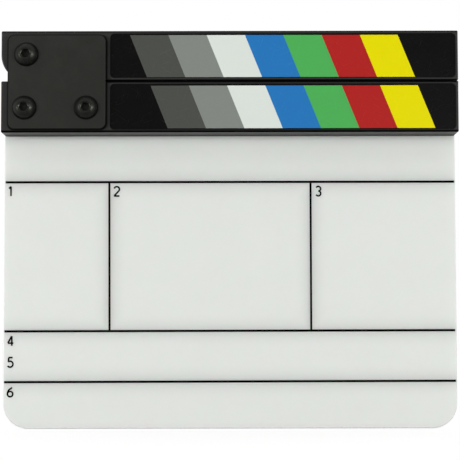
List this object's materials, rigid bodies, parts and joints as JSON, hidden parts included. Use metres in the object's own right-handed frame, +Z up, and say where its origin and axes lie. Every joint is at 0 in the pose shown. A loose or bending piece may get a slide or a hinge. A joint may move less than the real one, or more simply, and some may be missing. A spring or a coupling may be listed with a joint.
{
  "type": "clapperboard",
  "caption": "Film clapperboard: a white acrylic writing board under two black clap sticks with striped labels, the upper stick hinged between bolted plates to snap shut.",
  "frame": {"origin": "middle of the writing board's bottom edge, halfway through the board's thickness", "axes": "+X to the right seen from the printed front, +Y from the front to the back, +Z up from the writing board to the clap sticks"},
  "size_m": [0.28, 0.043, 0.2436],
  "materials": {
    "opal_acrylic": "opal white acrylic sheet with a fine satin face and printed black lines",
    "black_lacquer": "hardwood under a satin black lacquer",
    "stripe_print": "printed strip with slanted stripes under a clear film",
    "black_plate": "aluminium plate, black anodised",
    "black_oxide": "steel with an oiled black oxide finish",
    "zinc_steel": "bright zinc-plated steel",
    "nylon": "natural nylon",
    "brass": "turned brass and bearing bronze",
    "nickel_plate": "nickel-plated magnet"
  },
  "bodies": {
    "slate": {"writing_board": "opal_acrylic", "lower_stick": "black_lacquer", "lower_stripe_label": "stripe_print", "lower_magnet": "nickel_plate", "board_inserts": "brass", "board_washers": "zinc_steel", "board_screws": "black_oxide", "front_hinge_plate": "black_plate", "rear_hinge_plate": "black_plate", "plate_bolts": "black_oxide", "plate_washers": "zinc_steel", "plate_lock_nuts": "zinc_steel", "pivot_bolt": "black_oxide", "pivot_sleeve": "zinc_steel", "pivot_washer": "zinc_steel", "pivot_lock_nut": "zinc_steel", "lock_rings": "nylon"},
    "clapper": {"upper_stick": "black_lacquer", "upper_stripe_label": "stripe_print", "upper_magnet": "nickel_plate", "pivot_bush": "brass", "thrust_washers": "nylon"}
  },
  "joints": [
    {"name": "clapper_hinge", "type": "hinge", "parent": "slate", "child": "clapper", "pos_m": [-0.12423, 0, 0.22862], "axis": [0, -1, 0], "range_deg": [0, 90]}
  ]
}
